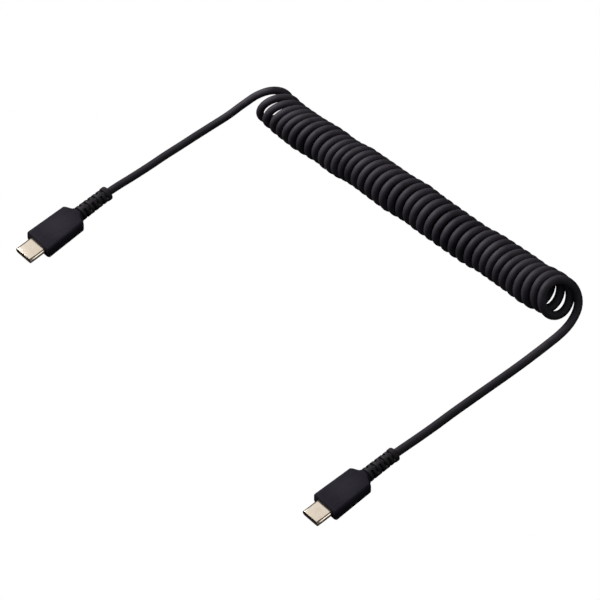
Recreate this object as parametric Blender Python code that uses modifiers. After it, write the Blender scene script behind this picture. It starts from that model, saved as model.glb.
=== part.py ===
# Coiled USB-C cable: a closely wound curly cord between two moulded plugs.
# Units are metres, +Z is up and the floor is at z = 0. Both plugs point along -Y.

import math

import bmesh
import bpy
from mathutils import Matrix, Vector
from mathutils.geometry import interpolate_bezier

# Clearances
SEAT_GAP = 0.0003
LINING_GAP = 0.0001
FLOOR_GAP = 0.00005

# Where the two plugs lie
PLUG_SPACING = 0.1578
PLUG_STAGGER = 0.0042

# Metal shell of a plug
SHELL_WIDTH = 0.00825
SHELL_HEIGHT = 0.0024
SHELL_REACH = 0.0069
SHELL_SEAT = 0.0045
SHELL_WALL = 0.0003
SHELL_LIP = 0.00012

# Black insulator inside the shell
INSULATOR_RECESS = 0.0004
INSULATOR_WALL = 0.00037
SLOT_DEPTH = 0.0052

# Moulded housing that is held when plugging in
HOUSING_WIDTH = 0.0121
HOUSING_REAR_WIDTH = 0.0112
HOUSING_HEIGHT = 0.0056
HOUSING_LENGTH = 0.0175
HOUSING_ROUNDING = 0.0016
HOUSING_CHAMFER = 0.0004
NECK_WIDTH = 0.0062
NECK_HEIGHT = 0.0055
SHOULDER_LENGTH = 0.0026
SHOULDER_STEPS = 8

# Slotted strain relief behind the housing
RELIEF_DIAMETER = 0.0055
RELIEF_END_DIAMETER = 0.0050
RELIEF_LENGTH = 0.0146
RELIEF_TONGUE_DIAMETER = 0.0032
RELIEF_TONGUE_LENGTH = 0.0023
COLLAR_DIAMETER = 0.0054
COLLAR_LENGTH = 0.0017
COLLAR_ROUNDING = 0.0003
RELIEF_SLOT_WIDTH = 0.0008
RELIEF_SLOT_ROWS = 7
RELIEF_CORE = 0.0034
RELIEF_FIRST_SLOT = 0.0001
RELIEF_LAST_SLOT = 0.0123

# Round cord and the coil it is wound into
CORD_DIAMETER = 0.0030
COIL_DIAMETER = 0.0160
COIL_TURNS = 40
COIL_PITCH = 0.00346
COIL_MIDDLE_X = 0.0034
COIL_MIDDLE_Y = 0.0992
COIL_YAW = math.radians(6.6)
COIL_LEAN_BACK = 0.20
COIL_LEAN_SIDE = 0.20
CREST_SHARE = 0.36
VALLEY_SHARE = 0.30

# Fineness of the rounded shapes
CORNER_STEPS = 6
ROUND_STEPS = 24
CORD_BEVEL_STEPS = 2
PATH_STEPS = 3

# Free stretches of cord: points chosen by hand between the strain relief and the coil,
# each as (x, y, height above the level where the cord lies on the floor)
TAIL_A_ROUTE = (
    (-0.0786, 0.0327, 0.0006),
    (-0.0782, 0.0400, 0.0001),
    (-0.0777, 0.0471, 0.0),
    (-0.0772, 0.0542, 0.0),
    (-0.0766, 0.0613, 0.0),
    (-0.0760, 0.0684, 0.0003),
    (-0.0750, 0.0751, 0.0011),
    (-0.0736, 0.0813, 0.0031),
    (-0.0717, 0.0869, 0.0062),
    (-0.0697, 0.0911, 0.0094),
)
TAIL_B_ROUTE = (
    (0.0767, 0.1143, 0.0017),
    (0.0785, 0.1100, 0.0003),
    (0.0802, 0.1048, 0.0),
    (0.0810, 0.0992, 0.0),
    (0.0811, 0.0925, 0.0),
    (0.0810, 0.0850, 0.0),
    (0.0808, 0.0775, 0.0),
    (0.0805, 0.0700, 0.0),
    (0.0802, 0.0625, 0.0),
    (0.0799, 0.0555, 0.0),
    (0.0796, 0.0480, 0.0),
    (0.0794, 0.0410, 0.0),
    (0.0793, 0.0340, 0.0002),
    (0.0792, 0.0280, 0.0006),
)

# Sizes that follow from the ones above
PLUG_LENGTH = SHELL_REACH + HOUSING_LENGTH + SHOULDER_LENGTH + SEAT_GAP + RELIEF_LENGTH
PLUG_AXIS_HEIGHT = HOUSING_HEIGHT / 2
CORD_RADIUS = CORD_DIAMETER / 2
COIL_RADIUS = COIL_DIAMETER / 2
TURN_RADIUS = COIL_RADIUS - CORD_RADIUS
COIL_LENGTH = COIL_TURNS * COIL_PITCH
HOUSING_BACK = HOUSING_LENGTH + SHOULDER_LENGTH
RELIEF_FRONT = HOUSING_BACK + SEAT_GAP
RELIEF_BACK = RELIEF_FRONT + RELIEF_LENGTH


def clear_scene():
    for item in list(bpy.data.objects):
        bpy.data.objects.remove(item, do_unlink=True)


def make_collection(name):
    collection = bpy.data.collections.new(name)
    bpy.context.scene.collection.children.link(collection)
    return collection


def make_material(name, colour, roughness, metallic):
    material = bpy.data.materials.new(name)
    material.use_nodes = True
    shader = material.node_tree.nodes["Principled BSDF"]
    shader.inputs["Base Color"].default_value = (*colour, 1.0)
    shader.inputs["Roughness"].default_value = roughness
    shader.inputs["Metallic"].default_value = metallic
    material.diffuse_color = (*colour, 1.0)
    return material


def add_object(name, data, collection, material=None, parent=None):
    item = bpy.data.objects.new(name, data)
    collection.objects.link(item)
    if material:
        data.materials.clear()
        data.materials.append(material)
    item.parent = parent
    return item


def shade_round(mesh, angle=math.radians(35)):
    mesh.shade_smooth()
    mesh.set_sharp_from_angle(angle=angle)


def rounded_section(half_width, half_height, radius, along):
    # Points of a rounded rectangle across Y; its flats touch the given half sizes exactly
    points = []
    step = math.radians(90) / CORNER_STEPS
    reach = radius / math.cos(step / 2)
    for corner in range(4):
        turn = math.radians(90) * corner
        side_x = 1 if corner in (0, 3) else -1
        side_z = 1 if corner in (0, 1) else -1
        centre_x = side_x * (half_width - radius)
        centre_z = side_z * (half_height - radius)
        for index in range(CORNER_STEPS):
            angle = turn + (index + 0.5) * step
            points.append(Vector((
                centre_x + reach * math.cos(angle),
                along,
                centre_z + reach * math.sin(angle),
            )))
    return points


def join_rings(mesh, first, second):
    following = first[1:] + first[:1]
    beyond = second[1:] + second[:1]
    for corners in zip(first, following, beyond, second):
        mesh.faces.new(corners)


def loft(name, sections, closed=False):
    # One solid through rounded sections; closed joins the last to the first, as in a tube
    mesh = bmesh.new()
    rings = [[mesh.verts.new(point) for point in rounded_section(*section)] for section in sections]
    for first, second in zip(rings, rings[1:]):
        join_rings(mesh, first, second)
    if closed:
        join_rings(mesh, rings[-1], rings[0])
    else:
        mesh.faces.new(rings[0])
        mesh.faces.new(rings[-1])
    bmesh.ops.recalc_face_normals(mesh, faces=mesh.faces)
    data = bpy.data.meshes.new(name)
    mesh.to_mesh(data)
    mesh.free()
    shade_round(data)
    return data


def shell_sections():
    # Outside from the seated end to the tip, then back along the inside
    half_width = SHELL_WIDTH / 2
    half_height = SHELL_HEIGHT / 2
    inner_width = half_width - SHELL_WALL
    inner_height = half_height - SHELL_WALL
    lip_width = half_width - SHELL_LIP
    lip_height = half_height - SHELL_LIP
    tip = -SHELL_REACH
    return (
        (half_width, half_height, half_height, SHELL_SEAT),
        (half_width, half_height, half_height, tip + SHELL_LIP),
        (lip_width, lip_height, lip_height, tip),
        (inner_width, inner_height, inner_height, tip),
        (inner_width, inner_height, inner_height, SHELL_SEAT),
    )


def insulator_sections():
    half_width = SHELL_WIDTH / 2 - SHELL_WALL - LINING_GAP
    half_height = SHELL_HEIGHT / 2 - SHELL_WALL - LINING_GAP
    front = INSULATOR_RECESS - SHELL_REACH
    slot_width = half_width - INSULATOR_WALL
    slot_height = half_height - INSULATOR_WALL
    return (
        (half_width, half_height, half_height, SHELL_SEAT),
        (half_width, half_height, half_height, front),
        (slot_width, slot_height, slot_height / 2, front),
        (slot_width, slot_height, slot_height / 2, front + SLOT_DEPTH),
    )


def shoulder_sections():
    # The sides draw in from the full block to the round neck in one soft wave
    sections = []
    block = Vector((HOUSING_REAR_WIDTH / 2, HOUSING_HEIGHT / 2, HOUSING_ROUNDING))
    neck = Vector((NECK_WIDTH / 2, NECK_HEIGHT / 2, NECK_HEIGHT / 2))
    for index in range(SHOULDER_STEPS + 1):
        share = index / SHOULDER_STEPS
        drawn_in = (1 - math.cos(math.pi * share)) / 2
        sections.append((*block.lerp(neck, drawn_in), HOUSING_LENGTH + SHOULDER_LENGTH * share))
    return sections


def housing_sections():
    # From the bottom of the shell's pocket round the outside to the bottom of the rear bore
    pocket_width = SHELL_WIDTH / 2 + SEAT_GAP
    pocket_height = SHELL_HEIGHT / 2 + SEAT_GAP
    pocket_depth = SHELL_SEAT + SEAT_GAP
    bore = RELIEF_TONGUE_DIAMETER / 2 + SEAT_GAP
    bore_bottom = RELIEF_FRONT - RELIEF_TONGUE_LENGTH - SEAT_GAP
    return (
        (pocket_width, pocket_height, pocket_height, pocket_depth),
        (pocket_width, pocket_height, pocket_height, 0.0),
        (HOUSING_WIDTH / 2 - HOUSING_CHAMFER, HOUSING_HEIGHT / 2 - HOUSING_CHAMFER,
         HOUSING_ROUNDING - HOUSING_CHAMFER, 0.0),
        (HOUSING_WIDTH / 2, HOUSING_HEIGHT / 2, HOUSING_ROUNDING, HOUSING_CHAMFER),
        *shoulder_sections(),
        (bore, bore, bore, HOUSING_BACK),
        (bore, bore, bore, bore_bottom),
    )


def turned(name, profile, closed, collection):
    # Turns a profile of (radius, height) about Z and keeps the result as a mesh
    outline = bmesh.new()
    points = [outline.verts.new((radius, 0.0, height)) for radius, height in profile]
    for pair in zip(points, points[1:]):
        outline.edges.new(pair)
    if closed:
        outline.edges.new((points[-1], points[0]))
    data = bpy.data.meshes.new(name + "_outline")
    outline.to_mesh(data)
    outline.free()
    guide = add_object(name + "_guide", data, collection)
    screw = guide.modifiers.new("turn", "SCREW")
    screw.axis = "Z"
    screw.angle = math.radians(360)
    screw.steps = ROUND_STEPS
    screw.render_steps = ROUND_STEPS
    screw.use_merge_vertices = True
    screw.merge_threshold = 0.00001
    bpy.context.view_layer.update()
    evaluated = guide.evaluated_get(bpy.context.evaluated_depsgraph_get())
    result = bpy.data.meshes.new_from_object(evaluated)
    bpy.data.objects.remove(guide, do_unlink=True)
    result.name = name
    shade_round(result)
    return result


def relief_profile():
    # Top to bottom down the outer side: the cord's end first, the tongue last
    end = RELIEF_END_DIAMETER / 2
    collar = COLLAR_DIAMETER / 2
    collar_front = RELIEF_LENGTH - COLLAR_LENGTH
    tongue = RELIEF_TONGUE_DIAMETER / 2
    return (
        (0.0, RELIEF_LENGTH),
        (collar - COLLAR_ROUNDING, RELIEF_LENGTH),
        (collar, RELIEF_LENGTH - COLLAR_ROUNDING),
        (collar, collar_front + COLLAR_ROUNDING),
        (end, collar_front),
        (RELIEF_DIAMETER / 2, 0.0),
        (tongue, 0.0),
        (tongue, -RELIEF_TONGUE_LENGTH),
        (0.0, -RELIEF_TONGUE_LENGTH),
    )


def relief_slot_cutter(name, collection):
    # Rows of slots, by turns above and below and at the two sides. The first row opens
    # into the seam with the housing, and the last lies in front of the collar.
    mesh = bmesh.new()
    reach = COLLAR_DIAMETER / 2
    middle = (RELIEF_CORE / 2 + reach) / 2
    spacing = (RELIEF_LAST_SLOT - RELIEF_FIRST_SLOT) / (RELIEF_SLOT_ROWS - 1)
    for row in range(RELIEF_SLOT_ROWS):
        height = RELIEF_FIRST_SLOT + row * spacing
        turn = Matrix.Rotation(math.radians(90) * (row % 2), 4, "Z")
        for side in (-1, 1):
            place = turn @ Matrix.Translation((0.0, side * middle, height))
            size = Matrix.Diagonal((2 * reach, reach - RELIEF_CORE / 2, RELIEF_SLOT_WIDTH, 1.0))
            bmesh.ops.create_cube(mesh, size=1.0, matrix=place @ size)
    data = bpy.data.meshes.new(name)
    mesh.to_mesh(data)
    mesh.free()
    cutter = add_object(name, data, collection)
    cutter.hide_render = True
    cutter.display_type = "WIRE"
    return cutter


def build_relief(side, parent, parts, cutters, material):
    name = "plug_" + side + "_strain_relief"
    relief = add_object(name, turned(name, relief_profile(), False, parts), parts, material, parent)
    relief.location = (0.0, RELIEF_FRONT, 0.0)
    relief.rotation_euler = (math.radians(-90), 0.0, 0.0)
    cutter = relief_slot_cutter(name + "_slots", cutters)
    cutter.parent = relief
    cut = relief.modifiers.new("slots", "BOOLEAN")
    cut.operation = "DIFFERENCE"
    cut.solver = "EXACT"
    cut.object = cutter


def build_plug(side, place, parts, cutters, materials):
    # Local frame: the housing's front face is at y = 0 and the shell points along -Y
    anchor = bpy.data.objects.new("plug_" + side, None)
    parts.objects.link(anchor)
    anchor.location = place
    for piece, sections, closed in (
        ("shell", shell_sections(), True),
        ("insulator", insulator_sections(), False),
        ("housing", housing_sections(), False),
    ):
        name = "plug_" + side + "_" + piece
        add_object(name, loft(name, sections, closed), parts, materials[piece], anchor)
    build_relief(side, anchor, parts, cutters, materials["strain_relief"])


def coil_profile():
    # Outer side with one rounded rib to a turn, then back up the bore
    crest = COIL_RADIUS
    valley = COIL_RADIUS - VALLEY_SHARE * CORD_DIAMETER
    bore = COIL_RADIUS - CORD_DIAMETER
    half_crest = CREST_SHARE * CORD_DIAMETER / 2
    top = COIL_LENGTH / 2
    points = [(valley, top)]
    for turn in range(COIL_TURNS):
        middle = top - (turn + 0.5) * COIL_PITCH
        points.append((crest, middle + half_crest))
        points.append((crest, middle - half_crest))
        points.append((valley, middle - COIL_PITCH / 2))
    points.append((bore, -top))
    points.append((bore, top))
    return points


def coil_frame():
    return Matrix.Translation((COIL_MIDDLE_X, COIL_MIDDLE_Y, COIL_RADIUS)) @ Matrix.Rotation(COIL_YAW, 4, "Z")


def coil_lean():
    # The turns lean: what is higher, or nearer the plugs, is moved back along the coil
    lean = Matrix.Identity(4)
    lean[0][1] = COIL_LEAN_SIDE
    lean[0][2] = -COIL_LEAN_BACK
    return lean


def build_coil(parts, material):
    data = turned("coil", coil_profile(), True, parts)
    data.transform(coil_lean() @ Matrix.Rotation(math.radians(90), 4, "Y"))
    coil = add_object("coil", data, parts, material)
    coil.matrix_world = coil_frame()


def beside_coil(end, angle, radius, outward=0.0):
    # Point of a cord that runs round the axis just past one end of the coil; the angle
    # starts at the side of the plugs and goes up over the top
    along = end * (COIL_LENGTH / 2 + CORD_RADIUS + SEAT_GAP + outward)
    across = -radius * math.cos(angle)
    above = radius * math.sin(angle)
    return coil_frame() @ coil_lean() @ Vector((along, across, above))


def tail_a_points():
    # From the strain relief, up over the coil's left end and down behind it
    start = plug_place("a") + Vector((0.0, RELIEF_BACK + SEAT_GAP, 0.0))
    points = [start, start + Vector((0.0, CORD_DIAMETER, 0.0))]
    points += [Vector((x, y, CORD_RADIUS + FLOOR_GAP + lift)) for x, y, lift in TAIL_A_ROUTE]
    for degrees in (80, 115, 150, 185, 220, 255):
        points.append(beside_coil(-1, math.radians(degrees), TURN_RADIUS))
    return points


def tail_b_points():
    # From the top of the coil's right end, down behind it and out along the floor
    points = []
    for index, degrees in enumerate((90, 120, 150, 180)):
        loosened = index * CORD_RADIUS / 2
        points.append(beside_coil(1, math.radians(degrees), TURN_RADIUS + loosened / 2, loosened))
    points += [Vector((x, y, CORD_RADIUS + FLOOR_GAP + lift)) for x, y, lift in TAIL_B_ROUTE]
    end = plug_place("b") + Vector((0.0, RELIEF_BACK + SEAT_GAP, 0.0))
    points += [end + Vector((0.0, CORD_DIAMETER, 0.0)), end]
    return points


def smooth_path(points):
    # Reads a smooth curve through the route's points
    path = [points[0]]
    last = len(points) - 1
    for index in range(last):
        here, there = points[index], points[index + 1]
        before = points[max(index - 1, 0)]
        after = points[min(index + 2, last)]
        leave = here + (there - before) / 6
        arrive = there - (after - here) / 6
        path += interpolate_bezier(here, leave, arrive, there, PATH_STEPS + 1)[1:]
    return path


def build_tail(name, points, parts, material):
    data = bpy.data.curves.new(name, "CURVE")
    data.dimensions = "3D"
    data.bevel_depth = CORD_RADIUS
    data.bevel_resolution = CORD_BEVEL_STEPS
    data.use_fill_caps = True
    path = smooth_path(points)
    spline = data.splines.new("POLY")
    spline.points.add(len(path) - 1)
    for knot, point in zip(spline.points, path):
        knot.co = (*point, 1.0)
    add_object(name, data, parts, material)


def plug_place(side):
    # Middle of the housing's front face; the pair is centred on the origin in plan
    reach = (PLUG_LENGTH + PLUG_STAGGER) / 2
    if side == "a":
        return Vector((-PLUG_SPACING / 2, SHELL_REACH + PLUG_STAGGER - reach, PLUG_AXIS_HEIGHT))
    return Vector((PLUG_SPACING / 2, SHELL_REACH - reach, PLUG_AXIS_HEIGHT))


def main():
    clear_scene()
    parts = make_collection("coiled_usb_c_cable")
    cutters = make_collection("cutters")
    materials = {
        "shell": make_material("shell_metal", (0.80, 0.72, 0.60), 0.24, 1.0),
        "insulator": make_material("insulator_black", (0.012, 0.012, 0.013), 0.50, 0.0),
        "housing": make_material("housing_black", (0.019, 0.017, 0.024), 0.55, 0.0),
        "strain_relief": make_material("strain_relief_black", (0.014, 0.013, 0.014), 0.50, 0.0),
    }
    cord = make_material("cord_black", (0.017, 0.016, 0.018), 0.42, 0.0)
    for side in ("a", "b"):
        build_plug(side, plug_place(side), parts, cutters, materials)
    build_coil(parts, cord)
    build_tail("tail_a", tail_a_points(), parts, cord)
    build_tail("tail_b", tail_b_points(), parts, cord)


main()
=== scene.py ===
import math

import bmesh
import bpy
from mathutils import Matrix, Vector
from mathutils.geometry import interpolate_bezier


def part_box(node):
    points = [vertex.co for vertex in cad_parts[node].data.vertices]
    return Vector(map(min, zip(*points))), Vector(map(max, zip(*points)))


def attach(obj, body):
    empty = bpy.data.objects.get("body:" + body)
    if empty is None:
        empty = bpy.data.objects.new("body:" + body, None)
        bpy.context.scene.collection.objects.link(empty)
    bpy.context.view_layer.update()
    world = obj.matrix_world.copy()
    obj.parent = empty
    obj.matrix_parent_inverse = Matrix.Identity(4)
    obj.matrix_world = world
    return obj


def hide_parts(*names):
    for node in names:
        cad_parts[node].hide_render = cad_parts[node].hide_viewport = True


# Coiled USB-C cable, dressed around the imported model. Metres, the floor at z = 0,
# both plugs pointing along -Y.

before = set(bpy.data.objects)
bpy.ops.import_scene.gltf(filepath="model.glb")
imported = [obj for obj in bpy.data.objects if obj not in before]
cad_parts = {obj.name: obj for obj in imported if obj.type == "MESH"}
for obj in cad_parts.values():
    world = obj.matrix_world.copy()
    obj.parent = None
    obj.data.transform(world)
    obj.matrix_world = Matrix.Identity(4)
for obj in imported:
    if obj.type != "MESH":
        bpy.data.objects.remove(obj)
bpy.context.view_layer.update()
mm = 0.001


def keyed(table, at):
    # reads a value between the (place, value) pairs of a table
    if at <= table[0][0]:
        return table[0][1]
    for (before, low), (after, high) in zip(table, table[1:]):
        if at <= after:
            return low + (high - low) * (at - before) / (after - before)
    return table[-1][1]


def addObject(name, data, material=None):
    thing = bpy.data.objects.new(name, data)
    bpy.context.scene.collection.objects.link(thing)
    if material:
        data.materials.append(material)
    return thing


class Wire:
    # one socket of a material; sums and products of wires become nodes
    def __init__(self, tree, socket):
        self.tree = tree
        self.socket = socket

    def node(self, kind, settings, sockets, output=0):
        made = self.tree.nodes.new(kind)
        for name, value in settings.items():
            if name == "stops":
                made.color_ramp.elements[0].position, made.color_ramp.elements[0].color = value[0]
                made.color_ramp.elements[1].position, made.color_ramp.elements[1].color = value[-1]
                for place, colour in value[1:-1]:
                    made.color_ramp.elements.new(place).color = colour
            else:
                setattr(made, name, value)
        for name, value in sockets.items():
            if isinstance(value, Wire):
                self.tree.links.new(value.socket, made.inputs[name])
            else:
                made.inputs[name].default_value = value
        return Wire(self.tree, made.outputs[output])

    def maths(self, operation, other=0.0, turned=False):
        pair = (other, self) if turned else (self, other)
        return self.node("ShaderNodeMath", {"operation": operation}, {0: pair[0], 1: pair[1]})

    def __add__(self, other):
        return self.maths("ADD", other)

    __radd__ = __add__

    def __mul__(self, other):
        return self.maths("MULTIPLY", other)

    __rmul__ = __mul__

    def __sub__(self, other):
        return self.maths("SUBTRACT", other)

    def __rsub__(self, other):
        return self.maths("SUBTRACT", other, turned=True)

    def noise(self, size, detail=4.0, roughness=0.5, stretch=(1.0, 1.0, 1.0)):
        # size in millimetres; self is a place on the piece
        spread = self.node("ShaderNodeMapping", {}, {"Vector": self, "Scale": stretch})
        return self.node("ShaderNodeTexNoise", {}, {
            "Vector": spread, "Scale": 1.0 / (size * mm), "Detail": detail, "Roughness": roughness})

    def cells(self, size):
        return self.node("ShaderNodeTexVoronoi", {"feature": "F1"}, {
            "Vector": self, "Scale": 1.0 / (size * mm)})

    def between(self, low, high):
        # 0 below low, 1 above high
        return self.node("ShaderNodeMapRange", {"interpolation_type": "SMOOTHSTEP"}, {
            "Value": self, "From Min": low, "From Max": high})

    def mix(self, first, second):
        # self is the share of the second colour
        return self.node("ShaderNodeMix", {"data_type": "RGBA"}, {0: self, 6: first, 7: second}, 2)

    def bump(self, depth, strength=1.0):
        # depth in millimetres for a height of 1
        return self.node("ShaderNodeBump", {}, {"Height": self, "Distance": depth * mm, "Strength": strength})


def startMaterial(name):
    material = bpy.data.materials.new(name)
    material.use_nodes = True
    tree = material.node_tree
    shader = tree.nodes["Principled BSDF"]
    place = Wire(tree, None).node("ShaderNodeTexCoord", {}, {}, "Object")
    return material, shader, place


def finishMaterial(shader, place, wires, plain):
    for name, wire in wires.items():
        place.tree.links.new(wire.socket, shader.inputs[name])
    for name, value in plain.items():
        shader.inputs[name].default_value = value


def edgeShare(place, radius, low, high):
    # how near a point is to an edge, from how far a rounded normal turns from the plain one
    rounded = place.node("ShaderNodeBevel", {"samples": 4}, {"Radius": radius * mm})
    plain = place.node("ShaderNodeNewGeometry", {}, {}, "Normal")
    turned = place.node("ShaderNodeVectorMath", {"operation": "DOT_PRODUCT"}, {0: rounded, 1: plain}, "Value")
    return (1.0 - turned).between(low, high)


def skyShare(place):
    # 1 where the surface looks up, 0 where it looks down or sideways: where the painted top light goes
    normal = place.node("ShaderNodeNewGeometry", {}, {}, "Normal")
    upward = place.node("ShaderNodeSeparateXYZ", {}, {"Vector": normal}, "Z")
    return upward.between(0.1, 0.95)


# Most of the pairs below that steer the coil, and of the free stretches' points, weren't chosen by hand.
# Scripts fitted them to the photograph or traced them from it, and they were thinned and rounded afterwards.
cordForm = {
    "diameter": 3.0,
    "pointsPerTurn": 36,
    "pitchStep": 0.05,        # in turns, when the spacing is added up
    "stretchSteps": 5,        # from one point of a free stretch to the next
    "middle": (3.39, 99.21),  # of the coil, on the floor
    "yaw": 6.64,
    "firstTurn": -65.75,      # where turn 0 passes the plugs' side, along the coil
    "lift": 0.05,
    # turn, spacing of the turns
    "pitch": ((0, 3.65), (1.5, 3.85), (3, 2.9), (6, 3.35), (8.5, 3.45), (10.5, 2.9), (16, 3.45),
              (19, 3.65), (22, 3.2), (24.5, 3.95), (28, 3.7), (31, 3.4), (37, 3.5), (38, 4.1), (40, 3.3)),
    # turn, radius of the cord's own line
    "radius": ((-1, 6.75), (-0.5, 6.2), (0, 5.95), (2, 6.1), (5, 6.4), (14, 6.45), (18, 6.65), (28, 6.65),
               (36, 6.95), (39, 6.9)),
    # turn, how far the plugs' side is drawn back along the coil for each mm across
    "leanAcross": ((-1, 0.45), (0, 0.55), (2, 0.5), (4, 0.45), (7, 0.3), (15, 0.3), (19, 0.2), (27, 0.15),
                   (31, 0.15), (34, 0.25), (37, 0.15)),
    # turn, how far the top is drawn back for each mm up
    "leanUp": ((-1, 0.25), (0, 0.15), (2, 0.15), (7, 0.25), (19, 0.3), (23, 0.2), (34, 0.2), (37, 0.35),
               (39.6, 0.6)),
    # turn, how far the coil bows towards the plugs
    "sway": ((-1, -0.45), (0, -1.15), (1, -0.3), (2, 0.15), (5, 0.75), (8, 0.1), (9.2, 0.6),
             (10.7, 0.6), (12.3, -0.2), (14, -0.1), (18, 0.5), (20.5, -0.2), (22, 0.25), (27, 0.7),
             (28.5, 0.7), (30, 0.0), (34, 0.2), (36.5, 0.7), (38, -0.45), (39.3, -0.25)),
    # turn, thickness of the cord against its nominal diameter
    "thickness": ((-1, 0.98), (6, 0.98), (13, 1.0), (16, 1.05), (31, 1.05), (38, 1.15), (40, 1.1)),
    "coilFrom": -0.72,        # in turns, where the free stretches join the coil
    "coilTo": 39.62,
    # across, back, height above where the cord lies on the floor
    "tailA": ((-78.9, 21.5, 1.25), (-78.9, 23.5, 1.25), (-78.75, 28.95, 0.9), (-78.6, 32.65, 0.5),
              (-78.4, 37.5, 0.1), (-78.0, 43.5, 0.0), (-77.6, 50.6, 0.0), (-77.0, 57.7, 0.0),
              (-76.4, 64.8, 0.1), (-75.5, 71.8, 0.6), (-73.6, 78.4, 2.85), (-71.45, 84.5, 6.55),
              (-69.1, 89.5, 9.95)),
    "tailB": ((79.7, 107.1, 0.2), (80.55, 103.25, 0.0), (81.0, 98.9, 0.0), (81.1, 94.0, 0.0),
              (81.1, 87.0, 0.0), (81.0, 80.0, 0.0), (80.75, 72.9, 0.0), (80.35, 64.2, 0.0),
              (79.95, 55.5, 0.0), (79.6, 46.8, 0.0), (79.4, 38.1, 0.0), (79.3, 32.0, 0.3),
              (79.2, 26.0, 0.75), (79.0, 19.5, 1.07), (78.9, 17.3, 1.07)),
}


def coilPoint(turn):
    # turn counts from the plugs' side and goes up over the top
    form = cordForm
    along = form["firstTurn"]
    count = max(1, round(abs(turn) / form["pitchStep"]))
    for index in range(count):
        along += keyed(form["pitch"], turn * (index + 0.5) / count) * turn / count
    radius = keyed(form["radius"], turn)
    angle = 2 * math.pi * turn
    across = -radius * math.cos(angle)
    above = radius * math.sin(angle)
    along += keyed(form["leanAcross"], turn) * across - keyed(form["leanUp"], turn) * above
    yaw = math.radians(form["yaw"])
    across -= keyed(form["sway"], turn)
    return Vector((
        form["middle"][0] + along * math.cos(yaw) - across * math.sin(yaw),
        form["middle"][1] + along * math.sin(yaw) + across * math.cos(yaw),
        form["diameter"] / 2 * keyed(form["thickness"], turn) + form["lift"] + radius + above,
    )) * mm


def smoothPath(points, steps):
    # one smooth line through the points of a free stretch, the nearer neighbour counting for more
    chords = [there - here for here, there in zip(points, points[1:])]
    headings = [chords[0].normalized()]
    for before, after in zip(chords, chords[1:]):
        heading = before.normalized() * after.length + after.normalized() * before.length
        headings.append(heading.normalized())
    headings.append(chords[-1].normalized())
    path = [points[0]]
    for index, chord in enumerate(chords):
        here, there = points[index], points[index + 1]
        leave = here + headings[index] * chord.length / 3
        arrive = there - headings[index + 1] * chord.length / 3
        path += interpolate_bezier(here, leave, arrive, there, steps + 1)[1:]
    return path


def cordPath():
    # the cord's own line from plug to plug, and its thickness at each point
    form = cordForm
    floorA, floorB = (form["diameter"] / 2 * form["thickness"][end][1] + form["lift"] for end in (0, -1))
    span = form["coilTo"] - form["coilFrom"]
    count = round(span * form["pointsPerTurn"])
    turns = [form["coilFrom"] + span * index / count for index in range(count + 1)]
    coil = [coilPoint(turn) for turn in turns]
    tailA = [Vector((x, y, floorA + lift)) * mm for x, y, lift in form["tailA"]]
    tailB = [Vector((x, y, floorB + lift)) * mm for x, y, lift in form["tailB"]]
    lead = smoothPath(tailA + coil[:2], form["stretchSteps"])[:-1]
    trail = smoothPath(coil[-2:] + tailB, form["stretchSteps"])[1:]
    thickness = [form["thickness"][0][1]] * len(lead)
    thickness += [keyed(form["thickness"], turn) for turn in turns[1:-1]]
    thickness += [form["thickness"][-1][1]] * len(trail)
    return lead + coil[1:-1] + trail, thickness


def pathLength(path):
    return sum((b - a).length for a, b in zip(path, path[1:]))


cordFinish = {
    "dark": (0.0100, 0.0083, 0.0117, 1.0),
    "light": (0.0335, 0.0280, 0.0385, 1.0),
    "dustAndLight": (0.050, 0.044, 0.053, 1.0),
    "paintedCoilBand": (72, 90),      # across, where the coil is painted lighter than the free ends: painted light and shade for how differently the light falls on them
    "blotch": 9.0,
    "grain": 0.22,
    "scuff": 1.7,
    "pits": 0.34,
    "dustAndLightPatch": 5.5,
}


def makeCordJacket():
    finish = cordFinish
    material, shader, place = startMaterial("cordJacket")
    blotch = place.noise(finish["blotch"], 5.0, 0.6)
    grain = place.noise(finish["grain"], 3.0, 0.6)
    pits = place.cells(finish["pits"])
    scuff = place.noise(finish["scuff"], 6.0, 0.7).between(0.6, 0.74)
    across = place.node("ShaderNodeSeparateXYZ", {}, {"Vector": place}, "Y")
    # painted light and shade: the coil is painted lighter and the free stretches darker, for how the light
    # falls on them
    paintedCoilLight = across.between(finish["paintedCoilBand"][0] * mm, finish["paintedCoilBand"][1] * mm) * 0.75 + 0.25
    body = ((blotch * 0.75 + grain * 0.25).between(0.25, 0.65) * paintedCoilLight).mix(finish["dark"], finish["light"])
    # dust on the upward faces, which is also painted light: it makes the tops of the turns lighter, as the
    # light falling on them would
    dustAndTopLight = skyShare(place) * place.noise(finish["dustAndLightPatch"], 6.0, 0.65).between(0.35, 0.75) * 0.35
    colour = ((dustAndTopLight + scuff * 0.22) * paintedCoilLight).mix(body, finish["dustAndLight"])
    rough = 0.58 - paintedCoilLight * 0.06 + blotch * 0.14 + grain * 0.08 + scuff * 0.1
    height = grain * 0.6 + pits * 0.25 + place.noise(1.1, 3.0, 0.5) * 0.8
    wires = {"Base Color": colour, "Roughness": rough, "Normal": height.bump(0.02, 0.55)}
    finishMaterial(shader, place, wires, {"Specular IOR Level": 0.22})
    return material


gripFinish = {
    "dark": (0.0095, 0.0076, 0.0132, 1.0),
    "light": (0.0185, 0.0152, 0.0248, 1.0),
    "worn": (0.060, 0.058, 0.066, 1.0),
    "spark": 0.11,
    "blotch": 4.5,
    "edge": 0.35,
    "held": (1.5, 9.0),      # from its middle, where fingers have made it smoother
}


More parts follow.
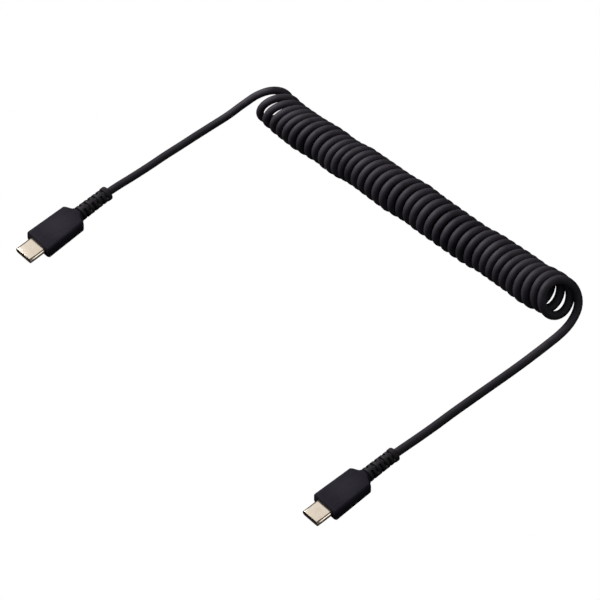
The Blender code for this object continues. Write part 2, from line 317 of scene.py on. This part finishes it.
def makeGripPlastic(name, middle):
    finish = gripFinish
    material, shader, place = startMaterial(name)
    shift = [-part for part in middle]
    centred = place.node("ShaderNodeMapping", {}, {"Vector": place, "Location": shift})
    reach = centred.node("ShaderNodeVectorMath", {"operation": "LENGTH"}, {0: centred}, "Value")
    thumbed = 1.0 - reach.between(finish["held"][0] * mm, finish["held"][1] * mm)
    spark = centred.noise(finish["spark"], 4.0, 0.65)
    blotch = centred.noise(finish["blotch"], 5.0, 0.6)
    edge = edgeShare(centred, finish["edge"], 0.03, 0.35)
    chipped = centred.noise(0.6, 5.0, 0.7).between(0.42, 0.62)
    flowSheen = centred.noise(1.5, 4.0, 0.6, (1.0, 0.22, 1.0))  # where the plastic ran into the mould: partly the plastic's own flow marks, partly a painted sheen, lighter in the colour
    cloudy = blotch * 0.25 + flowSheen * 0.35 + spark * 0.15 + thumbed * 0.25
    body = cloudy.between(0.25, 0.75).mix(finish["dark"], finish["light"])
    colour = (edge * chipped * 0.6).mix(body, finish["worn"])
    rough = 0.66 + spark * 0.12 - thumbed * 0.1 - edge * 0.12 + blotch * 0.06
    height = spark * 0.8 + centred.cells(0.16) * 0.3 + centred.noise(0.9, 3.0, 0.5) * 0.7
    wires = {"Base Color": colour, "Roughness": rough, "Normal": height.bump(0.02, 0.5)}
    finishMaterial(shader, centred, wires, {"Specular IOR Level": 0.14})
    return material


sleeveFinish = {
    "dark": (0.0080, 0.0064, 0.0084, 1.0),
    "light": (0.0165, 0.0138, 0.0172, 1.0),
    "worn": (0.042, 0.041, 0.042, 1.0),
    "grain": 0.14,
    "edge": 0.2,
}


def makeSleeveRubber():
    finish = sleeveFinish
    material, shader, place = startMaterial("sleeveRubber")
    grain = place.noise(finish["grain"], 3.0, 0.6)
    blotch = place.noise(2.6, 5.0, 0.6)
    edge = edgeShare(place, finish["edge"], 0.03, 0.4)
    rubbed = place.noise(0.5, 5.0, 0.7).between(0.4, 0.65)
    body = (blotch * 0.7 + grain * 0.3).between(0.3, 0.7).mix(finish["dark"], finish["light"])
    colour = (edge * rubbed * 0.5).mix(body, finish["worn"])
    rough = 0.5 + blotch * 0.12 + grain * 0.1 - edge * 0.1
    height = grain * 0.6 + place.cells(0.2) * 0.3 + place.noise(0.8, 3.0, 0.5) * 0.5
    wires = {"Base Color": colour, "Roughness": rough, "Normal": height.bump(0.02, 0.5)}
    finishMaterial(shader, place, wires, {"Specular IOR Level": 0.22})
    return material


shellFinish = {
    "plating": (0.90, 0.80, 0.68, 1.0),
    "warm": (0.84, 0.71, 0.56, 1.0),
    "scratchAndEdgeShade": (0.42, 0.31, 0.21, 1.0),
    "inside": (0.045, 0.036, 0.028, 1.0),
    "line": 0.09,
    "flatHalf": 2.925,       # where the round ends begin
    "innerRadius": 0.97,
    "innerFade": 0.06,
    "rim": 0.25,
}


def makeShellMetal(name, middle):
    finish = shellFinish
    material, shader, place = startMaterial(name)
    shift = [-part for part in middle]
    centred = place.node("ShaderNodeMapping", {}, {"Vector": place, "Location": shift})
    sideways = centred.node("ShaderNodeSeparateXYZ", {}, {"Vector": centred}, "X")
    upward = centred.node("ShaderNodeSeparateXYZ", {}, {"Vector": centred}, "Z")
    # painted shade: the shell's inner walls are painted dark for the shade in its mouth
    beyond = (sideways.maths("ABSOLUTE") - finish["flatHalf"] * mm).maths("MAXIMUM", 0.0)
    reach = (beyond * beyond + upward * upward).maths("SQRT")
    begin = finish["innerRadius"]
    inner = 1.0 - reach.between(begin * mm, (begin + finish["innerFade"]) * mm)
    drawn = place.noise(finish["line"], 5.0, 0.6, (1.0, 0.035, 1.0))
    cloud = place.noise(2.4, 5.0, 0.6)
    scratch = place.noise(0.16, 3.0, 0.5, (1.0, 0.05, 1.0)).between(0.66, 0.72)
    # painted reflection: the rounded edges and the lip are darkened for the dark lines they reflect; the
    # scratches share that colour as real wear
    rim = edgeShare(place, finish["rim"], 0.02, 0.5)
    body = (cloud * 0.7 + drawn * 0.3).between(0.32, 0.7).mix(finish["plating"], finish["warm"])
    outside = (rim * 0.6 + scratch * 0.2).mix(body, finish["scratchAndEdgeShade"])
    colour = inner.mix(outside, finish["inside"])
    rough = 0.13 + drawn * 0.07 + cloud * 0.05 + scratch * 0.12 + inner * 0.3
    height = drawn * 0.7 + cloud * 0.3
    wires = {"Base Color": colour, "Roughness": rough, "Normal": height.bump(0.0012, 0.3)}
    finishMaterial(shader, place, wires, {"Metallic": 1.0})
    return material


liningFinish = {"dark": (0.008, 0.008, 0.009, 1.0), "light": (0.02, 0.02, 0.021, 1.0), "grain": 0.08}


def makeLiningPlastic():
    finish = liningFinish
    material, shader, place = startMaterial("liningPlastic")
    grain = place.noise(finish["grain"], 3.0, 0.6)
    cloud = place.noise(1.2, 5.0, 0.6)
    colour = (grain * 0.4 + cloud * 0.6).between(0.3, 0.7).mix(finish["dark"], finish["light"])
    rough = 0.42 + grain * 0.14 + cloud * 0.1
    wires = {"Base Color": colour, "Roughness": rough, "Normal": grain.bump(0.01, 0.4)}
    finishMaterial(shader, place, wires, {})
    return material


contactFinish = {"gold": (0.95, 0.70, 0.33, 1.0), "dull": (0.66, 0.45, 0.20, 1.0), "line": 0.05}


def makeContactGold():
    finish = contactFinish
    material, shader, place = startMaterial("contactGold")
    wiped = place.noise(finish["line"], 4.0, 0.6, (1.0, 0.08, 1.0))
    cloud = place.noise(0.7, 4.0, 0.6)
    colour = (wiped * 0.5 + cloud * 0.5).between(0.35, 0.65).mix(finish["gold"], finish["dull"])
    rough = 0.2 + wiped * 0.16 + cloud * 0.06
    wires = {"Base Color": colour, "Roughness": rough, "Normal": wiped.bump(0.003, 0.4)}
    finishMaterial(shader, place, wires, {"Metallic": 1.0})
    return material


def finishMesh(mesh, name, material, angle=38.0):
    # welds the seams, turns the faces outwards and smooths all but the real edges
    bmesh.ops.remove_doubles(mesh, verts=mesh.verts, dist=0.001 * mm)
    bmesh.ops.recalc_face_normals(mesh, faces=mesh.faces)
    for face in mesh.faces:
        face.smooth = True
    data = bpy.data.meshes.new(name)
    mesh.to_mesh(data)
    mesh.free()
    data.set_sharp_from_angle(angle=math.radians(angle))
    return addObject(name, data, material)


def sectionRing(mesh, middle, y, halfWide, halfHigh, corner, segments=48):
    # a rounded rectangle across the plug: a circle whose quarters are moved apart
    corner = min(corner, halfWide, halfHigh)
    step = math.pi / segments
    turned = Matrix.Rotation(math.pi / 2, 4, "X") @ Matrix.Rotation(step, 4, "Z")
    radius = corner / math.cos(step) * mm
    made = bmesh.ops.create_circle(mesh, segments=segments, radius=radius, matrix=turned)
    verts = made["verts"]
    for vert in verts:
        vert.co.x += math.copysign((halfWide - corner) * mm, vert.co.x) + middle[0]
        vert.co.z += math.copysign((halfHigh - corner) * mm, vert.co.z) + middle[2]
        vert.co.y = y * mm
    return [edge for edge in mesh.edges if edge.verts[0] in verts and edge.verts[1] in verts]


def joinRings(mesh, rings, closed=False):
    pairs = list(zip(rings, rings[1:]))
    if closed:
        pairs.append((rings[-1], rings[0]))
    for before, after in pairs:
        bmesh.ops.bridge_loops(mesh, edges=before + after)


gripForm = {
    "frontHalf": (6.16, 2.8),
    "backHalf": (5.70, 2.8),
    "corner": 1.6,
    "cornerShare": 0.6,      # how much of the rim's inset the corner gives up
    "rim": 0.75,             # rounding round the front face
    "rimSteps": 6,
    "block": 17.4,
    "blockSteps": 8,
    "neckHalf": (3.1, 2.75),
    "neckCorner": 2.7,
    "neckInset": 0.25,       # where the sleeve's seam begins
    "neckInsetCorner": 2.45,
    "shoulderSteps": 14,
    "pocket": (4.24, 1.32),  # round the shell, and how deep it goes
    "pocketDepth": 0.9,
    "pocketFlare": (0.07, 0.06),  # outwards and deep
    "pocketClear": 0.2,      # the hairline keeps this far from the pocket
    "line": 0.07,            # hairline where the two halves of the mould met
    "lineDepth": 0.045,
}


def buildGrip(side, material):
    form = gripForm
    low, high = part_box("plug_" + side + "_housing")
    middle = (low + high) / 2
    front, back = low.y / mm, high.y / mm
    mesh = bmesh.new()
    rings = []
    wide, tall = form["pocket"]
    outwards, deep = form["pocketFlare"]
    rings.append(sectionRing(mesh, middle, front + form["pocketDepth"], wide, tall, tall))
    rings.append(sectionRing(mesh, middle, front + deep, wide, tall, tall))
    rings.append(sectionRing(mesh, middle, front, wide + outwards, tall + outwards, tall + outwards))
    for index in range(form["rimSteps"] + 1):
        angle = math.pi / 2 * index / form["rimSteps"]
        inset = form["rim"] * (1 - math.sin(angle))
        y = front + form["rim"] * (1 - math.cos(angle))
        halfWide, halfHigh = form["frontHalf"]
        corner = form["corner"] - inset * form["cornerShare"]
        rings.append(sectionRing(mesh, middle, y, halfWide - inset, halfHigh - inset, corner))
    for index in range(1, form["blockSteps"] + 1):
        share = index / form["blockSteps"]
        y = front + form["rim"] + (form["block"] - form["rim"]) * share
        halfWide = form["frontHalf"][0] + (form["backHalf"][0] - form["frontHalf"][0]) * share
        rings.append(sectionRing(mesh, middle, y, halfWide, form["backHalf"][1], form["corner"]))
    for index in range(1, form["shoulderSteps"] + 1):
        share = index / form["shoulderSteps"]
        drawn = (1 - math.cos(math.pi * share)) / 2
        y = front + form["block"] + (back - front - form["block"]) * share
        halfWide = form["backHalf"][0] + (form["neckHalf"][0] - form["backHalf"][0]) * drawn
        halfHigh = form["backHalf"][1] + (form["neckHalf"][1] - form["backHalf"][1]) * drawn
        corner = form["corner"] + (form["neckCorner"] - form["corner"]) * drawn
        rings.append(sectionRing(mesh, middle, y, halfWide, halfHigh, corner))
    wide, tall = (half - form["neckInset"] for half in form["neckHalf"])
    rings.append(sectionRing(mesh, middle, back, wide, tall, form["neckInsetCorner"]))
    joinRings(mesh, rings)
    bmesh.ops.edgeloop_fill(mesh, edges=rings[0])
    bmesh.ops.edgeloop_fill(mesh, edges=rings[-1])
    for offset in (-form["line"], 0.0, form["line"]):
        geometry = list(mesh.verts) + list(mesh.edges) + list(mesh.faces)
        bmesh.ops.bisect_plane(mesh, geom=geometry, plane_co=middle + Vector((0, 0, offset * mm)),
                               plane_no=(0, 0, 1), dist=1e-8)
    for vert in mesh.verts:
        pocketEdge = (form["pocket"][0] + form["pocketClear"]) * mm
        outside = abs(vert.co.x - middle.x) > pocketEdge or vert.co.y > middle.y
        if abs(vert.co.z - middle.z) < 1e-6 and outside:
            vert.co.x -= math.copysign(form["lineDepth"] * mm, vert.co.x - middle.x)
    grip = finishMesh(mesh, "grip" + side.upper(), material)
    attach(grip, "root")
    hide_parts("plug_" + side + "_housing")


shellForm = {"half": (4.125, 1.2), "wall": 0.3, "lipSteps": 6, "depth": 8.0, "segments": 64,
             "further": 0.25}  # the photograph shows it this much longer than the model


def buildShell(side, material):
    form = shellForm
    low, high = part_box("plug_" + side + "_shell")
    middle = (low + high) / 2
    front, back = low.y / mm - form["further"], high.y / mm
    wide, tall = form["half"]
    lip = form["wall"] / 2
    mesh = bmesh.new()
    long = back - front - lip
    rings = [sectionRing(mesh, middle, back - share * long, wide, tall, tall, form["segments"])
             for share in (0.0, 0.25, 0.5, 0.75, 1.0)]
    for index in range(1, form["lipSteps"]):
        angle = math.pi * index / form["lipSteps"]
        inset = lip * (1 - math.cos(angle))
        y = front + lip * (1 - math.sin(angle))
        rings.append(sectionRing(mesh, middle, y, wide - inset, tall - inset, tall - inset, form["segments"]))
    inner = tall - form["wall"]
    for y in (front + lip, front + form["depth"], back):
        rings.append(sectionRing(mesh, middle, y, wide - form["wall"], inner, inner, form["segments"]))
    joinRings(mesh, rings, closed=True)
    shell = finishMesh(mesh, "shell" + side.upper(), material)
    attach(shell, "root")
    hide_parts("plug_" + side + "_shell")


sleeveForm = {
    "front": 2.77,          # radii
    "back": 2.58,
    "collar": 2.74,
    "wider": 1.05,          # across against its height
    "collarLong": 1.7,
    "long": 14.6,
    "frontEdge": (0.12, 0.03, 0.08),  # down, down again, and back
    "slotWall": (0.09, 0.04),  # before and within a slot's side
    "slotRim": 0.05,        # the slot's own edge is this much lower than the sleeve
    "seamClear": 0.1,
    "core": 1.35,
    "seam": 0.42,           # the open groove behind the grip
    "slotFloor": (1.5, 1.9),  # above and below, at the sides
    "hole": 1.5,
    # distance from the sleeve's end, and how far below the collar or above the hole
    "collarEdge": ((0.35, 0.0), (0.18, 0.06), (0.05, 0.2), (0.0, 0.4)),
    "holeEdge": ((0.0, 0.1), (0.15, 0.0), (1.0, -0.1)),
    "rows": 7,
    "firstRow": 0.1,        # middle of the first and last row, from the front
    "lastRow": 12.3,
    "slot": 0.92,
    "halfAngle": 72.0,
    "steps": 96,
}


def buildSleeve(side, material):
    form = sleeveForm
    low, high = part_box("plug_" + side + "_strain_relief")
    middle = (low + high) / 2
    end = high.y / mm
    start = end - form["long"]
    collarStart = end - form["collarLong"]
    rows = [start + form["firstRow"] + (form["lastRow"] - form["firstRow"]) * row / (form["rows"] - 1)
            for row in range(form["rows"])]

    def bodyRadius(y):
        share = (y - start) / (collarStart - start)
        return form["front"] + (form["back"] - form["front"]) * min(max(share, 0.0), 1.0)

    first = start + form["seam"]
    lower, higher, further = form["frontEdge"]
    outline = [(low.y / mm, form["core"] - 0.2), (low.y / mm, form["core"]), (first, form["core"]),
               (first, form["front"] - lower), (first + further, form["front"] - higher)]
    half = form["slot"] / 2
    before, within = form["slotWall"]
    for row in rows:
        for step in (-half - before, -half, -half + within, half - within, half, half + before):
            if row + step > first + form["seamClear"]:
                outline.append((row + step, bodyRadius(row + step)))
    outline += [(collarStart - 0.02, form["back"]), (collarStart, form["collar"] - 0.1),
                (collarStart + 0.1, form["collar"])]
    outline += [(end - inwards, form["collar"] - down) for inwards, down in form["collarEdge"]]
    outline += [(end - inwards, form["hole"] + up) for inwards, up in form["holeEdge"]]
    mesh = bmesh.new()
    verts = [mesh.verts.new((middle.x, y * mm, middle.z + radius * mm)) for y, radius in outline]
    edges = [mesh.edges.new(pair) for pair in zip(verts, verts[1:])]
    bmesh.ops.spin(mesh, geom=verts + edges, cent=middle, axis=(0, 1, 0), dvec=(0, 0, 0),
                   angle=2 * math.pi, steps=form["steps"], use_merge=True)
    for index, row in enumerate(rows):
        for vert in mesh.verts:
            along = abs(vert.co.y / mm - row)
            if along > half + 0.01 or vert.co.y / mm < first + 0.05:
                continue
            x, z = vert.co.x - middle.x, vert.co.z - middle.z
            across = abs(x) if index % 2 == 0 else abs(z)
            facing = abs(z) if index % 2 == 0 else abs(x)
            if math.degrees(math.atan2(across, facing)) > form["halfAngle"]:
                continue
            radius = math.hypot(x, z)
            onRim = along > half - 0.02
            wanted = radius - form["slotRim"] * mm if onRim else form["slotFloor"][index % 2] * mm
            vert.co.x = middle.x + x * wanted / radius
            vert.co.z = middle.z + z * wanted / radius
    for vert in mesh.verts:
        vert.co.x = middle.x + (vert.co.x - middle.x) * form["wider"]
    sleeve = finishMesh(mesh, "sleeve" + side.upper(), material, 30.0)
    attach(sleeve, "root")
    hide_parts("plug_" + side + "_strain_relief")


contactForm = {
    "perSide": 12,
    "pitch": 0.5,
    "size": (0.25, 3.9, 0.08),
    "fromTip": 2.0,
    "height": 0.40,
    "edge": 0.02,
}


def buildContacts(side, material):
    # the spring contacts' faces, above and below the slot for the socket's tongue
    form = contactForm
    low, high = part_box("plug_" + side + "_shell")
    middle = (low + high) / 2
    wide, long, thick = form["size"]
    mesh = bmesh.new()
    for up in (-1, 1):
        for index in range(form["perSide"]):
            place = Vector((middle.x + (index - (form["perSide"] - 1) / 2) * form["pitch"] * mm,
                            low.y + (form["fromTip"] + long / 2) * mm, middle.z + up * form["height"] * mm))
            bmesh.ops.create_cube(mesh, size=1.0,
                                  matrix=Matrix.LocRotScale(place, None, Vector((wide, long, thick)) * mm))
    bmesh.ops.bevel(mesh, geom=list(mesh.edges), offset=form["edge"] * mm, segments=2, profile=0.5,
                    affect="EDGES", material=-1)
    contacts = finishMesh(mesh, "contacts" + side.upper(), material)
    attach(contacts, "root")


def dressInsulators(material):
    for name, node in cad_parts.items():
        if name.endswith("insulator"):
            node.data.materials.clear()
            node.data.materials.append(material)


def buildCord(material):
    path, thickness = cordPath()
    data = bpy.data.curves.new("cord", "CURVE")
    data.dimensions = "3D"
    data.bevel_depth = cordForm["diameter"] / 2 * mm
    data.bevel_resolution = 8
    data.use_fill_caps = True
    spline = data.splines.new("POLY")
    spline.points.add(len(path) - 1)
    for knot, place, share in zip(spline.points, path, thickness):
        knot.co = (*place, 1.0)
        knot.radius = share
    spline.use_smooth = True
    cord = addObject("cord", data, material)
    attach(cord, "root")
    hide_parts("tail_a", "coil", "tail_b")
    length = pathLength(path)
    plugs = [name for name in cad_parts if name.startswith("plug_b")]
    plugs += ["gripB", "sleeveB", "shellB", "contactsB"]
    print("cord", round(length, 3), "m in", len(path), "points")


studio = {
    "target": (0.003645, 0.042425, 0.0),
    "camera": (2.143069, -1.972557, 4.045085),
    "lens": 819.39,
    "around": 0.06,       # light from all round, apart from what the camera sees
    "floorShade": 0.08,
    # name, place, width and depth, power
    "lights": (
        ("keyLight", (-1.25, -0.3, 1.0), (1.1, 1.1), 42.0),
        ("topPanel", (-0.75, 0.75, 1.45), (1.5, 1.5), 5.3),
        ("sidePanel", (1.3, 0.75, 0.7), (0.8, 0.8), 3.0),
        ("frontPanel", (0.6, -1.0, 1.4), (0.8, 0.8), 2.5),
    ),
}


def cameraOnly(tree, seen, unseen):
    # one shader for what the camera sees and another for the light that falls on the object
    path = Wire(tree, None).node("ShaderNodeLightPath", {}, {}, "Is Camera Ray")
    return path.node("ShaderNodeMixShader", {}, {0: path, 1: unseen, 2: seen})


def buildFloor():
    mesh = bmesh.new()
    bmesh.ops.create_grid(mesh, x_segments=1, y_segments=1, size=30.0)
    data = bpy.data.meshes.new("floor")
    mesh.to_mesh(data)
    mesh.free()
    material, shader, place = startMaterial("floorWhite")
    shade = studio["floorShade"]
    shader.inputs["Base Color"].default_value = (shade, shade, shade, 1.0)
    shader.inputs["Roughness"].default_value = 0.9
    shader.inputs["Specular IOR Level"].default_value = 0.0
    white = place.node("ShaderNodeEmission", {}, {"Color": (1.0, 1.0, 1.0, 1.0), "Strength": 1.0})
    both = cameraOnly(place.tree, white, Wire(place.tree, shader.outputs[0]))
    place.tree.links.new(both.socket, place.tree.nodes["Material Output"].inputs["Surface"])
    floor = addObject("floor", data, material)


def buildCamera():
    data = bpy.data.cameras.new("camera")
    data.lens = studio["lens"]
    data.sensor_width = 36.0
    data.sensor_fit = "HORIZONTAL"
    data.clip_start = 0.1
    data.clip_end = 100.0
    camera = addObject("camera", data)
    camera.location = studio["camera"]
    aim = Vector(studio["target"]) - Vector(studio["camera"])
    camera.rotation_mode = "QUATERNION"
    camera.rotation_quaternion = aim.to_track_quat("-Z", "Y")
    bpy.context.scene.camera = camera


def buildLights():
    world = bpy.data.worlds.new("studio")
    bpy.context.scene.world = world
    world.use_nodes = True
    tree = world.node_tree
    start = Wire(tree, tree.nodes["Background"].outputs[0])
    white = (1.0, 1.0, 1.0, 1.0)
    tree.nodes["Background"].inputs["Color"].default_value = white
    tree.nodes["Background"].inputs["Strength"].default_value = 1.0
    dim = start.node("ShaderNodeBackground", {}, {"Color": white, "Strength": studio["around"]})
    both = cameraOnly(tree, start, dim)
    tree.links.new(both.socket, tree.nodes["World Output"].inputs["Surface"])
    for name, place, size, power in studio["lights"]:
        data = bpy.data.lights.new(name, "AREA")
        data.shape = "RECTANGLE"
        data.size, data.size_y = size
        data.energy = power
        lamp = addObject(name, data)
        lamp.location = place
        lamp.rotation_mode = "QUATERNION"
        lamp.rotation_quaternion = (Vector(studio["target"]) - Vector(place)).to_track_quat("-Z", "Y")
    bpy.context.scene.view_settings.view_transform = "Standard"


sleeveRubber = makeSleeveRubber()
contactGold = makeContactGold()
for side in ("a", "b"):
    low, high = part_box("plug_" + side + "_housing")
    buildGrip(side, makeGripPlastic("gripPlastic" + side.upper(), (low + high) / 2))
    buildSleeve(side, sleeveRubber)
    low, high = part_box("plug_" + side + "_shell")
    buildShell(side, makeShellMetal("shellMetal" + side.upper(), (low + high) / 2))
    buildContacts(side, contactGold)
    print("plug", side, "built")
dressInsulators(makeLiningPlastic())
print("insulators dressed")
buildCord(makeCordJacket())
buildFloor()
buildLights()
buildCamera()
print("floor, lights and camera set")
